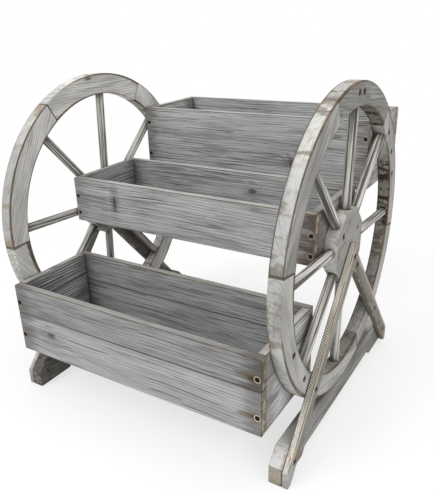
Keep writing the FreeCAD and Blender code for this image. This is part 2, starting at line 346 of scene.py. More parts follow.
soft = {"interpolation_type": "SMOOTHSTEP"}
times, plus, minus = [{"operation": name} for name in ("MULTIPLY", "ADD", "SUBTRACT")]
length, absolute = {"operation": "LENGTH"}, {"operation": "ABSOLUTE"}
smaller, larger = {"operation": "MINIMUM"}, {"operation": "MAXIMUM"}
times_plus = {"operation": "MULTIPLY_ADD"}
scaled = {"operation": "SCALE"}
on_object = {"attribute_type": "OBJECT"}
colours = {"data_type": "RGBA"}


def linear(hex_colour):
    channels = [int(hex_colour[i:i + 2], 16) / 255 for i in (1, 3, 5)]
    return [c / 12.92 if c <= 0.04045 else ((c + 0.055) / 1.055) ** 2.4 for c in channels] + [1]


def lay_coats(tree, colour, *coats):
    for hex_colour, thickness, *shares in coats:
        for share in shares:
            thickness = add(tree, "Math", (thickness, share), **times)
        colour = add(tree, "Mix", (thickness, colour, linear(hex_colour)), **colours)
    return colour


print("mid grey in linear light:", [round(c, 3) for c in linear("#9c9c9a")])

# %% [markdown]
# ## Where a point lies in its piece of wood
#
# Every pattern below is measured in millimetres on the real wood: how far along
# the grain, how far across it, and how far through the plank. The stored
# directions turn a place on the object into those three numbers. The group also
# hands on everything else that is stored on the object.

# %% Group: place in the wood
def give(made, results):
    """Makes an output of a node group for each thing that it worked out."""
    for name, value in results.items():
        kind = "NodeSocketVector" if value.type == "VECTOR" else "NodeSocketFloat"
        made.interface.new_socket(name, in_out="OUTPUT", socket_type=kind)
    exit_node = made.nodes.new("NodeGroupOutput")
    for name, value in results.items():
        made.links.new(value, exit_node.inputs[name])
    print(made.name, "has", len(made.nodes), "nodes")


in_wood = bpy.data.node_groups.new("place_in_the_wood", "ShaderNodeTree")
stored = {}
for kind, names in (
        ("Fac", ("grain_seed", "tone", "joined_edge", "furrows", "grain_share", "relief",
                 "tread_pale", "pitted", "brown_bands", "inside_dirt", "end_wear")),
        ("Vector", ("grain_start", "grain_along", "grain_across", "grain_through", "half_size",
                    "wheel_middle", "knot", "knot_shape", "end_stain", "nail_low", "nail_high",
                    *nail_spots))):
    for name in names:
        stored[name] = add(in_wood, "Attribute", out=kind, attribute_name=name, **on_object)

place = add(in_wood, "TexCoord", out="Object")
from_start = add(in_wood, "VectorMath", (place, stored["grain_start"]), **minus)
from_start = add(in_wood, "VectorMath", (from_start, millimetres), **scaled)
measured = [add(in_wood, "VectorMath", (from_start, stored["grain_" + way]),
                operation="DOT_PRODUCT") for way in ("along", "across", "through")]
board_point = add(in_wood, "CombineXYZ", measured)

# Each piece is cut from another place of the tree, this far from the one before.
seed_step = (613.0, 157.0, 89.0)
cut_from = add(in_wood, "VectorMath", (stored["grain_seed"], seed_step), **times)
wood_point = add(in_wood, "VectorMath", (board_point, cut_from), **plus)

# How deep the point lies under the nearer end, the upper edge and the outer face.
to_high, to_low = [
    add(in_wood, "SeparateXYZ",
        (add(in_wood, "VectorMath", (stored["half_size"], board_point), **way),), out=None).outputs
    for way in (minus, plus)]
deeps = [add(in_wood, "Math", pair, **smaller) for pair in zip(to_high, to_low)]

# An arris is where two faces meet, so it is near where the second least depth is small.
less = add(in_wood, "Math", (deeps[0], deeps[1]), **smaller)
more = add(in_wood, "Math", (deeps[0], deeps[1]), **larger)
more = add(in_wood, "Math", (more, deeps[2]), **smaller)
from_arris = add(in_wood, "Math", (less, more), **larger)
facing = add(in_wood, "SeparateXYZ", (add(in_wood, "NewGeometry", out="Normal"),),
             out=None).outputs
give(in_wood, {**stored, "Board": board_point, "Wood": wood_point, "Along": measured[0],
               "Across": measured[1], "Through": measured[2], "From end": deeps[0],
               "From top": to_high[1], "From face": to_high[2], "From arris": from_arris,
               "Facing right": facing[0], "Facing back": facing[1], "Facing up": facing[2]})

# %% [markdown]
# ## Weathered grain
#
# Pine has a soft pale part and a hard dark line in each year's ring. A board
# cuts through those rings, so its faces show long lines and pointed arches and
# its ends show arcs. One pattern gives them all if it is worked out in the
# solid: the distance from a line that stands for the middle of the tree, a
# little bent by noise, and repeated every few millimetres.
#
# Rain and sun then wash out the soft part. Where the wash has gone, the wood
# lies open and dark streaks show; where it stays, the board is smooth. Streaks
# are noise stretched along the grain, and the thin dark lines are where such a
# noise crosses its middle value. A crack opens at the end of a ring, and only
# here and there. Real fibres are finer than a tenth of a millimetre, so they are
# drawn more than ten times as coarse to show.

# %% Group: weathered grain
def long_noise(tree, point, length_mm, width_mm, detail=2.0, rough=0.5):
    """Noise with spots length_mm long down the grain and width_mm wide."""
    squeeze = (1 / length_mm, 1 / width_mm, 1 / width_mm)
    squeezed = add(tree, "VectorMath", (point, squeeze), **times)
    return add(tree, "TexNoise", (squeezed, 1.0, detail, rough))


grain = bpy.data.node_groups.new("weathered_grain", "ShaderNodeTree")
grain.interface.new_socket("Ring gap", in_out="INPUT", socket_type="NodeSocketFloat")
ring_gap = grain.nodes.new("NodeGroupInput").outputs["Ring gap"]
place_node = grain.nodes.new("ShaderNodeGroup")
place_node.node_tree = in_wood
here = place_node.outputs
wood = here["Wood"]

# A knot pushes the rings aside. It is longer down the grain than across it.
off_knot = add(grain, "VectorMath", (here["Board"], here["knot"]), **minus)
off_knot = add(grain, "VectorMath", (off_knot, here["knot_shape"]), **times)
knot_gap = add(grain, "VectorMath", (off_knot,), **length)
knot_push = add(grain, "MapRange", (knot_gap, 30.0, 3.0, 0.0, 14.0), **soft)
knot_core = add(grain, "MapRange", (knot_gap, 7.5, 3.5, 0.0, 1.0), **soft)
knot_halo = add(grain, "MapRange", (knot_gap, 24.0, 6.0, 0.0, 1.0), **soft)
print("with a knot:", len(grain.nodes), "nodes")

# %% Year rings
# The distance from the tree's heart, bent a little down the length. The heart
# lies well to one side, so that the rings cross the face as close thin lines.
heart_aside, heart_below, heart_sway = 88.0, 45.0, 18.0
bend = add(grain, "Math", (long_noise(grain, wood, 380, 80), 30.0, -15.0), **times_plus)
heart = add(grain, "Math", (add(grain, "Math", (here["grain_seed"], 2.4), **times),),
            operation="SINE")
heart = add(grain, "Math", (heart, heart_sway, here["Across"]), **times_plus)
heart = add(grain, "Math", (heart, heart_aside), **plus)
heart = add(grain, "Math", (heart, bend), **plus)
under = add(grain, "Math", (here["Through"], heart_below), **plus)
heart_gap = add(grain, "VectorMath", (add(grain, "CombineXYZ", (heart, under)),), **length)
heart_gap = add(grain, "Math", (heart_gap, knot_push), **plus)
ring_count = add(grain, "Math", (heart_gap, ring_gap), operation="DIVIDE")
ring_part = add(grain, "Math", (ring_count,), operation="FRACT")
rising = add(grain, "MapRange", (ring_part, 0.62, 0.80), **soft)
falling = add(grain, "MapRange", (ring_part, 1.0, 0.92), **soft)
strength = add(grain, "MapRange", (long_noise(grain, wood, 170, 12, 3), 0.38, 0.62), **soft)
rings = add(grain, "Math", (add(grain, "Math", (rising, falling), **times), strength), **times)
print("with year rings:", len(grain.nodes), "nodes")

# %% Open wood, its dark streaks and the pale fibres between them
open_wood = add(grain, "MapRange", (long_noise(grain, wood, 170, 28, 3), 0.42, 0.62), **soft)
fibres = long_noise(grain, wood, 140, 2.0, 2, 0.55)
streak = add(grain, "MapRange", (fibres, 0.44, 0.37), **soft)
pale = add(grain, "MapRange", (fibres, 0.56, 0.70), **soft)
line = 0.0
for length_mm, width_mm, thin, darkest in ((210, 4.0, 0.032, 0.7), (330, 9.0, 0.018, 1.0)):
    middle = add(grain, "Math", (long_noise(grain, wood, length_mm, width_mm, 2), 0.5), **minus)
    middle = add(grain, "Math", (middle,), **absolute)
    found = add(grain, "MapRange", (middle, 1.6 * thin, 0.6 * thin, 0.0, darkest), **soft)
    line = add(grain, "Math", (line, found), **larger)
print("with streaks and lines:", len(grain.nodes), "nodes")

# %% Furrows and cracks
# Furrows run parallel down the board.
furrow_gap = 6.2
furrow = add(grain, "Math", (add(grain, "Math", (here["Across"], bend), **plus), furrow_gap),
             operation="DIVIDE")
furrow = add(grain, "Math", (add(grain, "Math", (furrow,), operation="FRACT"), 0.5), **minus)
furrow = add(grain, "MapRange", (add(grain, "Math", (furrow,), **absolute), 0.17, 0.07), **soft)
furrow_where = add(grain, "MapRange", (long_noise(grain, wood, 140, 14, 2), 0.20, 0.44), **soft)
furrow_where = add(grain, "Math", (here["furrows"], furrow_where), **times)
furrow = add(grain, "Math", (furrow, furrow_where), **times)

# Cracks, few and long. They open at the end of a ring, where the wood is weakest.
ring_left = add(grain, "Math", (1.0, ring_part), **minus)
ring_left = add(grain, "Math", (ring_left, ring_gap), **times)
crack = add(grain, "MapRange", (ring_left, 1.2, 0.6), **soft)
crack_where = add(grain, "MapRange", (long_noise(grain, wood, 130, 7, 1), 0.58, 0.66), **soft)
crack = add(grain, "Math", (crack, crack_where), **times)
print("with furrows and cracks:", len(grain.nodes), "nodes")

# %% Clouds and height
# Clouds are where the wash is thin. Height is in parts of a millimetre: hard
# rings stand up, streaks and cracks go in.
cloud = long_noise(grain, wood, 170, 42, 3)
height = fibres
for part, rise in ((rings, 0.35), (streak, -0.30), (line, -0.30), (furrow, -0.80), (crack, -1.60)):
    height = add(grain, "Math", (part, rise, height), **times_plus)
give(grain, {"Rings": rings, "Streak": streak, "Line": line, "Pale": pale, "Furrow": furrow,
             "Halo": knot_halo, "Open": open_wood, "Crack": crack, "Cloud": cloud,
             "Knot": knot_core, "Height": height})

# %% [markdown]
# ## Whitewash, worn edges, dirt and painted shade
#
# Whitewash is thin white paint. It stays thickest on broad faces, lets the dark
# rings show, and rubs off where hands and weather reach: the edges. On a board
# or a leg an edge is found from the piece's size, on a felloe from the rim's,
# and on any other shape by the Bevel node, which compares the true surface with
# a rounded one. Where pieces meet, Ambient Occlusion finds them, a wide one for
# corners and a narrow one for the line between two planks, and the colour there
# is darkened: partly dirt and dark joints, partly painted shade.
#
# The functions below build one such finish. Each use gives its own colours, and
# a function that paints the marks which only that kind of piece has. That one
# also says where the piece is shut away from all rubbing, from 0, open, to 1,
# shut, and how far each point lies from an arris, which is what a joiner calls
# an outside edge.

# %% Worn edges, dirt and painted shade
near_reach, wide_reach = 0.004, 0.030  # In metres. How near a neighbour has to be.


def wear_dirt_and_shade(tree, look, colour, shut, from_arris, rubbed, edge_mm, grime_and_shade):
    # Edges: bare wood in patches where something rubbed, and a thin dark line.
    sky_near = add(tree, "AmbientOcclusion", {"Distance": near_reach}, out="AO", samples=5)
    free = add(tree, "MapRange", (sky_near, 0.60, 0.85), **soft)
    free = add(tree, "Math", (free, add(tree, "Math", (1.0, shut), **minus)), **times)
    if from_arris is None:
        rounded = add(tree, "Bevel", (edge_mm / millimetres,), samples=6)
        flat = add(tree, "NewGeometry", out="Normal")
        agree = add(tree, "VectorMath", (rounded, flat), operation="DOT_PRODUCT")
        from_arris = add(tree, "MapRange", (agree, 0.90, 0.995, 0.0, 9.0))
    patches = add(tree, "TexNoise", (look["Wood"], 0.030, 4.0, 0.62))
    chips = add(tree, "TexNoise", (look["Wood"], 0.22, 2.0, 0.5))
    ragged = add(tree, "Math", (chips, 3.0, from_arris), **times_plus)
    bare = add(tree, "MapRange", (ragged, edge_mm + 1.9, edge_mm + 0.9), **soft)
    bare_where = add(tree, "MapRange", (patches, 0.50, 0.60, 0.10, 0.70), **soft)
    grimy = add(tree, "MapRange", (from_arris, 0.75 * edge_mm, 0.42 * edge_mm), **soft)
    grimy_where = add(tree, "MapRange", (patches, 0.62, 0.48, 0.50, 0.90), **soft)

    # Dirt and painted shade in the corners, and dark joint lines with painted shade between
    # planks.
    sky_wide = add(tree, "AmbientOcclusion", {"Distance": wide_reach}, out="AO", samples=5)
    dirt_and_shade = add(tree, "MapRange", (sky_wide, 0.60, 0.14, 0.0, grime_and_shade), **soft)
    seam_dirt_and_shade = add(tree, "MapRange", (sky_near, 0.74, 0.30, 0.0, 0.85), **soft)
    return lay_coats(tree, colour, (rubbed, bare, free, bare_where),
                     ("#4a3c2e", grimy, free, grimy_where), ("#3a342d", dirt_and_shade),
                     ("#2c2620", seam_dirt_and_shade))


print(f"dirt lies within {wide_reach * millimetres:.0f} mm of a neighbour,",
      f"and thickest within {near_reach * millimetres:.0f} mm")

# %% Finish: whitewashed pine
chalky, ring_gloss = 0.80, 0.14  # Roughness of whitewash, and how much less a hard ring has.
one_millimetre = 0.001


def whitewashed_pine(name, wash, thin, dark, rubbed, marks, ring_gap, rings, streaks,
                     cracks=1.0, edge_mm=2.4, grime_and_shade=0.58):
    material = bpy.data.materials.new(name)
    material.use_nodes = True
    tree = material.node_tree
    tree.nodes.clear()
    look = {}
    for made in (grain, in_wood):
        node = tree.nodes.new("ShaderNodeGroup")
        node.node_tree = made
        look.update((socket.name, socket) for socket in node.outputs)
        if made == grain:
            node.inputs["Ring gap"].default_value = ring_gap

    # The wash, thick and thin in slow clouds, with paler fibres on top.
    thick = add(tree, "MapRange", (look["Cloud"], 0.34, 0.66), **soft)
    colour = lay_coats(tree, linear(thin), (wash, thick), ("#d6d6d4", look["Pale"], 0.22))

    # Dark rings, streaks and lines, all stronger where the wood lies open.
    depth = add(tree, "MapRange", (look["Open"], 0.0, 1.0, 0.36, 1.0))
    for part, share in (("Rings", rings), ("Streak", streaks), ("Line", streaks), ("Halo", 0.5)):
        colour = lay_coats(tree, colour, (dark, look[part], share, depth, look["grain_share"]))
    for part, share in (("Furrow", 0.92), ("Knot", 0.75), ("Crack", cracks)):
        colour = lay_coats(tree, colour, ("#38332e", look[part], share))

    # The piece's own marks. Then some pieces are made lighter or darker than others, partly as
    # weathering and partly as painted light and shade.
    colour, shut, from_arris = marks(tree, look, colour)
    colour = add(tree, "VectorMath", (colour, look["tone"]), **scaled)
    colour = wear_dirt_and_shade(tree, look, colour, shut, from_arris, rubbed, edge_mm, grime_and_shade)

    bump = add(tree, "Bump", {"Strength": look["relief"], "Distance": one_millimetre,
                              "Height": look["Height"]})
    rough = add(tree, "MapRange", (look["Rings"], 0.0, 1.0, chalky, chalky - ring_gloss))
    shader = add(tree, "BsdfPrincipled", {"Base Color": colour, "Roughness": rough,
                                          "Normal": bump, "IOR": 1.5,
                                          "Specular IOR Level": 0.3})
    add(tree, "OutputMaterial", {"Surface": shader}, out=None)
    return material


def paint(material, is_wanted):
    """Gives the material to every CAD piece whose name is wanted."""
    names = [name for name in nodes if is_wanted(name)]
    for name in names:
        piece = nodes[name]
        piece.data.materials.clear()
        piece.data.materials.append(material)
    print(material.name, "on", len(names), "pieces")


print(f"roughness from {chalky - ring_gloss:.2f} on hard rings to {chalky:.2f}")

# %% [markdown]
# ## Boards
#
# A planter board is sawn pine. Three marks are its own. Its upper edge is the
# one that hands and pots rub, so it is nearly bare and pale, and it is painted
# paler still as a highlight where the light from above falls on it. Its ends
# drink water and go brown. And each nail has torn up a pale ring of wood round its
# sunken head, with a rusty stain that ran off along the grain. Rings and stains
# are weaker at the left end of the stand.

# %% Nail marks on a board
ring_radius, hole_radius, soft_rim = 7.0, 5.4, 0.8


def nail_marks(tree, look, colour, blot):
    """Rust down the grain, a ring of torn wood and a painted shadow in the hole at each nail."""
    outer = add(tree, "MapRange", (look["From face"], 3.4, 2.6), **soft)
    ring_end, rusty_end = [add(tree, "MapRange", (look["Along"], -10.0, 10.0, at_left, 1.0))
                           for at_left in (0.15, 0.35)]
    mirrored = add(tree, "Math", (look["Along"],), **absolute)
    for nail in ("nail_low", "nail_high"):
        nail_spot = add(tree, "SeparateXYZ", (look[nail],), out=None).outputs
        aside = add(tree, "Math", (mirrored, nail_spot[0]), **minus)
        above = add(tree, "Math", (look["Across"], nail_spot[1]), **minus)
        gap = add(tree, "VectorMath", (add(tree, "CombineXYZ", (aside, above)),), **length)
        run = add(tree, "Math", (aside, 0.30), **times)
        run = add(tree, "VectorMath", (add(tree, "CombineXYZ", (run, above)),), **length)
        run = add(tree, "Math", (blot, 22.0, run), **times_plus)
        rusty = add(tree, "MapRange", (nail_spot[2], faint_nail, bold_nail, 0.35, 1.0))
        far_rust, near_rust = [
            add(tree, "MapRange", (run, reach, reach - 8.0, 0.0, strength), **soft)
            for reach, strength in ((25.0, 0.60), (18.5, 0.85))]
        # The hole is painted near black, as the shadow inside it.
        ring, hole_shadow = [
            add(tree, "MapRange", (gap, radius, radius - soft_rim, 0.0, strength), **soft)
            for radius, strength in ((ring_radius, 1.0), (hole_radius, 0.96))]
        torn = add(tree, "MapRange", (nail_spot[2], faint_nail, bold_nail))
        colour = lay_coats(tree, colour, ("#74604c", far_rust, rusty, outer, rusty_end),
                           ("#3c322a", near_rust, rusty, outer, rusty_end),
                           ("#d8cfbc", ring, nail_spot[2], outer, ring_end),
                           ("#161210", hole_shadow, outer, torn))
    return colour


print("a nail's ring is", 2 * ring_radius, "mm across")

# %% Material: boards of the boxes
def board_marks(tree, look, colour):
    blot = long_noise(tree, look["Wood"], 55, 13, 3)
    reach = add(tree, "Math", (blot, 80.0, look["From end"]), **times_plus)
    stain = add(tree, "MapRange", (reach, 92.0, 50.0), **soft)
    left_share, right_share = add(tree, "SeparateXYZ", (look["end_stain"],), out=None).outputs[:2]
    stain_share = add(tree, "MapRange", (look["Along"], -20.0, 20.0, left_share, right_share))
    colour = lay_coats(tree, colour, ("#524b43", stain, stain_share))

    # End grain, bare and brown in turns.
    turns = add(tree, "TexNoise", (look["Wood"], 0.06, 3.0, 0.6))
    turns = add(tree, "MapRange", (turns, 0.42, 0.58), **soft)
    end_colour = lay_coats(tree, linear("#6b5d4e"), ("#b1a796", turns))
    end_face = add(tree, "MapRange", (look["From end"], 1.4, 0.5, 0.0, 0.65), **soft)
    colour = add(tree, "Mix", (end_face, colour, end_colour), **colours)

    # The upper edge is pale, partly worn bare and partly a painted highlight where light from
    # above falls, unless another plank stands on it.
    joined = look["joined_edge"]
    upper = add(tree, "MapRange", (look["From top"], 1.7, 0.8), **soft)
    uncovered = add(tree, "MapRange", (joined, 1.0, 0.0))
    wear_and_highlight = add(tree, "MapRange", (look["Cloud"], 0.38, 0.60, 0.20, 0.70), **soft)

    # A dark line along the joined edge: the lower one of an upper plank, where
    # joined_edge is -1, and the upper one of a lower plank, where it is 1.
    apart = add(tree, "Math", (add(tree, "Math", (1.0, joined), **minus), look["Across"],
                               look["From top"]), **times_plus)
    shut = add(tree, "MapRange", (apart, 2.2, 1.2), **soft)
    colour = lay_coats(tree, colour, ("#adaca6", upper, uncovered, wear_and_highlight),
                       ("#35302b", shut, 0.58))
    return nail_marks(tree, look, colour, blot), shut, look["From arris"]


board_pine = whitewashed_pine("whitewashed_pine_board", "#b6b7b8", "#a9a9aa", "#474542",
                              "#8e8070", board_marks, ring_gap=4.8, rings=0.55, streaks=0.60,
                              cracks=0.80)
paint(board_pine, lambda name: name.split("_")[0] in ("low", "middle", "top"))

# %% [markdown]
# ## Rims
#
# A felloe is sawn out of a plank, so its faces are smooth and its tread, across
# the grain, is rough. The tread was painted thickest and shows white, with pits
# where the wash missed the open pores. Water creeps in where two felloes meet:
# a brown band on the tread and a thin dark line on the faces. The inside of the
# rim is painted darker as shade, and dirt stays on it between the spokes.

# %% Nail stains on rims, hubs and legs
flat_on = (1.0, 1.0, 0.0)  # Leaves out how far through the plank a point lies.
hub_middle = abs(wheel_centre["right"].x)


def nail_stains(tree, look, colour):
    """A round rusty spot about each nail, on the outer face that it goes in by."""
    sideways = add(tree, "SeparateXYZ", (add(tree, "TexCoord", out="Object"),), out="X")
    sideways = add(tree, "Math", (sideways,), **absolute)
    outer = add(tree, "MapRange", (sideways, hub_middle, hub_middle + 0.004, 0.0, 0.80), **soft)
    blot = add(tree, "TexNoise", (look["Wood"], 0.20, 2.0))
    for spot in nail_spots:
        gap = add(tree, "VectorMath", (look["Board"], look[spot]), **minus)
        gap = add(tree, "VectorMath", (gap, flat_on), **times)
        gap = add(tree, "VectorMath", (gap,), **length)
        gap = add(tree, "Math", (blot, 7.0, gap), **times_plus)
        rust = add(tree, "MapRange", (gap, 12.5, 8.0), **soft)
        colour = lay_coats(tree, colour, ("#4a322a", rust, outer))
    return colour


print(f"nail stains lie more than {hub_middle * millimetres:.0f} mm from the middle")

# %% Material: rims
def rim_marks(tree, look, colour):
    spot = add(tree, "VectorMath", (look["Board"], look["wheel_middle"]), **plus)
    spot = add(tree, "VectorMath", (spot, flat_on), **times)
    radius = add(tree, "VectorMath", (spot,), **length)
    sideways, outwards = add(tree, "SeparateXYZ", (spot,), out=None).outputs[:2]
    angle = add(tree, "Math", (sideways, outwards), operation="ARCTAN2")
    angle = add(tree, "Math", (angle,), **absolute)
    joint = add(tree, "Math", (half_felloe, angle), **minus)
    joint = add(tree, "Math", (joint, radius), **times)
    tread = add(tree, "MapRange", (radius, rim_outside - 2.2, rim_outside - 1.3), **soft)
    inside = add(tree, "MapRange", (radius, rim_inside + 1.2, rim_inside + 0.4), **soft)

    # The white tread with its pits, painted paler as a highlight where it faces up to the light.
    blotch = add(tree, "TexNoise", (look["Wood"], 0.045, 6.0, 0.62))
    blotch = add(tree, "MapRange", (blotch, 0.38, 0.56), **soft)
    plain = lay_coats(tree, linear("#a6a6a3"), ("#b9bab9", blotch))
    tread_top_highlight = lay_coats(tree, linear("#c2c0b9"), ("#d4d3cd", blotch))
    upward = add(tree, "MapRange", (look["Facing up"], 0.40, 0.78), **soft)
    white = add(tree, "Mix", (upward, plain, tread_top_highlight), **colours)
    # Each tread is scaled paler or darker, partly for its paint and partly as painted light and
    # shade.
    white = add(tree, "VectorMath", (white, look["tread_pale"]), **scaled)
    painted = add(tree, "Math", (tread, 0.84), **times)
    colour = add(tree, "Mix", (painted, colour, white), **colours)
    pits = add(tree, "TexVoronoi", (look["Wood"], 0.26), out="Distance")
    pits = add(tree, "MapRange", (pits, 0.36, 0.22), **soft)
    pit_where = add(tree, "TexNoise", (look["Wood"], 0.055, 2.0))
    pit_where = add(tree, "MapRange", (pit_where, 0.56, 0.66), **soft)
    colour = lay_coats(tree, colour, ("#57504a", pits, pit_where, look["pitted"], tread))

    # Brown bands at the joints and the line of each joint.
    smear = long_noise(tree, look["Wood"], 16, 30, 4, 0.6)
    damp = add(tree, "Math", (smear, 60.0, joint), **times_plus)
    damp = add(tree, "MapRange", (damp, 56.0, 30.0, 0.0, 0.80), **soft)
    stain = add(tree, "Math", (smear, 0.35, long_noise(tree, look["Wood"], 26, 120, 2)),
                **times_plus)
    stain = add(tree, "MapRange", (stain, 0.75, 0.84), **soft)
    stain = add(tree, "Math", (stain, look["brown_bands"]), **times)
    stain = add(tree, "Math", (damp, stain), **larger)
    joint_line = add(tree, "MapRange", (joint, 1.3, 0.5), **soft)
    line_share = add(tree, "MapRange", (tread, 0.0, 1.0, 0.85, 0.45))
    colour = lay_coats(tree, colour, ("#756857", stain, tread),
                       ("#38312b", joint_line, line_share))

    # The whole inside is painted darker as shade, and dirt lies on it in bands across it.
    bands = long_noise(tree, look["Wood"], 17, 40, 5, 0.68)
    bands = add(tree, "MapRange", (bands, 0.48, 0.55), **soft)
    colour = lay_coats(tree, colour, ("#7e796f", inside, 0.55),
                       ("#352b22", bands, look["inside_dirt"], inside))
    colour = nail_stains(tree, look, colour)

    # An arris lies where the faces meet the tread or the inside.
    to_tread = add(tree, "Math", (rim_outside, radius), **minus)
    to_inside = add(tree, "Math", (radius, rim_inside), **minus)
    from_round = add(tree, "Math", (to_tread, to_inside), **smaller)
    half_thick = add(tree, "SeparateXYZ", (look["half_size"],), out="Z")
    through = add(tree, "Math", (look["Through"],), **absolute)
    from_flat = add(tree, "Math", (half_thick, through), **minus)
    return colour, 0.0, add(tree, "Math", (from_round, from_flat), **larger)


rim_pine = whitewashed_pine("whitewashed_pine_rim", "#b2b1ad", "#93928e", "#4c4843",
                            "#8a7259", rim_marks, ring_gap=6.0, rings=0.32, streaks=0.45,
                            cracks=0.25, edge_mm=3.9)
paint(rim_pine, lambda name: "felloe" in name)

# %% [markdown]
# ## Spokes
#
# A turned spoke weathers into deep lengthwise furrows. They are painted dark in the
# bottom, as dirt and painted shade, and pale on the ridges, as bare wood and painted
# highlight. Its ends, in the hub and the rim, are dark with damp.

# %% Material: spokes
def spoke_marks(tree, look, colour):
    furrows = long_noise(tree, look["Wood"], 230, 3.6, 2)
    # Pale ridges: bare wood and a painted highlight. Dark bottoms: dirt and painted shade.
    pale_ridge_and_highlight = add(tree, "MapRange", (furrows, 0.54, 0.62, 0.0, 0.70), **soft)
    bottom = add(tree, "MapRange", (furrows, 0.48, 0.42, 0.0, 0.85), **soft)
    blot = long_noise(tree, look["Wood"], 30, 8, 3)
    damp = add(tree, "Math", (blot, 60.0, look["From end"]), **times_plus)
    damp = add(tree, "MapRange", (damp, 62.0, 40.0, 0.0, 0.70), **soft)
    colour = lay_coats(tree, colour, ("#d3d1cb", pale_ridge_and_highlight), ("#403b36", bottom), ("#4b4137", damp))
    return colour, 0.0, None


spoke_pine = whitewashed_pine("whitewashed_pine_spoke", "#c6c4bf", "#a09d98", "#45413c",
                              "#a89880", spoke_marks, ring_gap=5.0, rings=0.3, streaks=0.55,
                              edge_mm=1.5)
paint(spoke_pine, lambda name: "spoke" in name)

# %% [markdown]
# ## Hubs
#
# A hub block keeps its wash on the face, and its sides round the hub are painted
# much paler, as painted light. Its upper side, where leaves and water lie, has gone brown.

# %% Material: hubs
def hub_marks(tree, look, colour):
    upper = add(tree, "MapRange", (look["Facing up"], 0.55, 0.95, 0.0, 0.60), **soft)
    blot = add(tree, "TexNoise", (look["Wood"], 0.05, 4.0, 0.6))
    worn = add(tree, "MapRange", (blot, 0.55, 0.66, 0.0, 0.45), **soft)
    # Sides that face neither way along the axle are painted paler, as painted light.
    hub_sides_painted_light = add(tree, "Math", (look["Facing right"],), **absolute)
    hub_sides_painted_light = add(tree, "MapRange", (hub_sides_painted_light, 0.9, 0.6, 0.0, 0.80), **soft)
    not_upper = add(tree, "Math", (1.0, upper), **minus)
    colour = lay_coats(tree, colour, ("#8b7962", upper), ("#e0ded7", hub_sides_painted_light, not_upper),
                       ("#57504a", worn))
    return nail_stains(tree, look, colour), 0.0, None


hub_pine = whitewashed_pine("whitewashed_pine_hub", "#9b9a97", "#8c8a87", "#565250",
                            "#c6b496", hub_marks, ring_gap=8.0, rings=0.12, streaks=0.20,
                            cracks=0.4, edge_mm=3.0, grime_and_shade=0.25)
paint(hub_pine, lambda name: "_hub" in name)

# %% [markdown]
# ## Runners
#
# A runner stands on wet ground. The slope at its end was sawn off last and is
# pale, its foot is brown from the earth, and its sides are dark. Where nothing
# has rubbed an end, it stays dark and goes mottled.

# %% Material: runners
def runner_marks(tree, look, colour):
    slope = add(tree, "MapRange", (look["Facing up"], 0.35, 0.55), **soft)
    not_top = add(tree, "MapRange", (look["Facing up"], 0.97, 0.90), **soft)
    slope = add(tree, "Math", (slope, not_top), **times)
    slope = add(tree, "Math", (slope, look["end_wear"]), **times)
    at_end = add(tree, "MapRange", (look["From end"], 75.0, 65.0))
    slope = add(tree, "Math", (slope, at_end), **times)

    # Rusty water has run from the leg's foot over the slope beside it.
    smear = long_noise(tree, look["Wood"], 14, 10, 4, 0.6)
    beside = add(tree, "Math", (smear, 22.0, look["From face"]), **times_plus)
    beside = add(tree, "MapRange", (beside, 18.0, 11.0, 0.0, 0.70), **soft)
    colour = lay_coats(tree, colour, ("#eae7e6", slope), ("#a37c5c", beside, slope))

    # Behind the slope, the top near the end is painted pale, as painted light against the shade of
    # the box above.
    flat_top = add(tree, "MapRange", (look["Facing up"], 0.93, 0.98), **soft)
    top_painted_light = add(tree, "MapRange", (look["From end"], 110.0, 65.0), **soft)
    endways = add(tree, "Math", (look["Facing back"],), **absolute)
    end_face = add(tree, "MapRange", (endways, 0.90, 0.98, 0.0, 0.55), **soft)
    colour = lay_coats(tree, colour, ("#f0efe8", flat_top, look["end_wear"], top_painted_light),
                       ("#c4b7a4", end_face))

    # An end that nothing rubs is mottled black.
    mottle = add(tree, "TexNoise", (look["Wood"], 0.11, 4.0, 0.6))
    mottle = add(tree, "MapRange", (mottle, 0.52, 0.60, 0.0, 0.80), **soft)
    near_end = add(tree, "MapRange", (look["From end"], 45.0, 20.0), **soft)
    unworn = add(tree, "Math", (1.0, look["end_wear"]), **minus)

    # Earth and wet at the foot.
    height = add(tree, "Math", (look["From top"], -1.0, 65.0), **times_plus)
    blot = long_noise(tree, look["Wood"], 30, 12, 3)
    wet = add(tree, "Math", (blot, 34.0, height), **times_plus)
    wet = add(tree, "MapRange", (wet, 26.0, 15.0, 0.0, 0.60), **soft)
    colour = lay_coats(tree, colour, ("#332e28", mottle, near_end, unworn), ("#6b5138", wet))
    return colour, 0.0, None


runner_pine = whitewashed_pine("whitewashed_pine_runner", "#9d9b97", "#7b7873", "#3f3a34",
                               "#a3937b", runner_marks, ring_gap=8.0, rings=0.35,
                               streaks=0.70)
paint(runner_pine, lambda name: "runner" in name)

# %% [markdown]
# ## Legs
#
# A leg is a thin lath. Its flat face is dark. Its narrow upper face is nearly
# bare and still shows the saw, a row of small steps across the grain.

# %% Material: legs
saw_step = 4.6


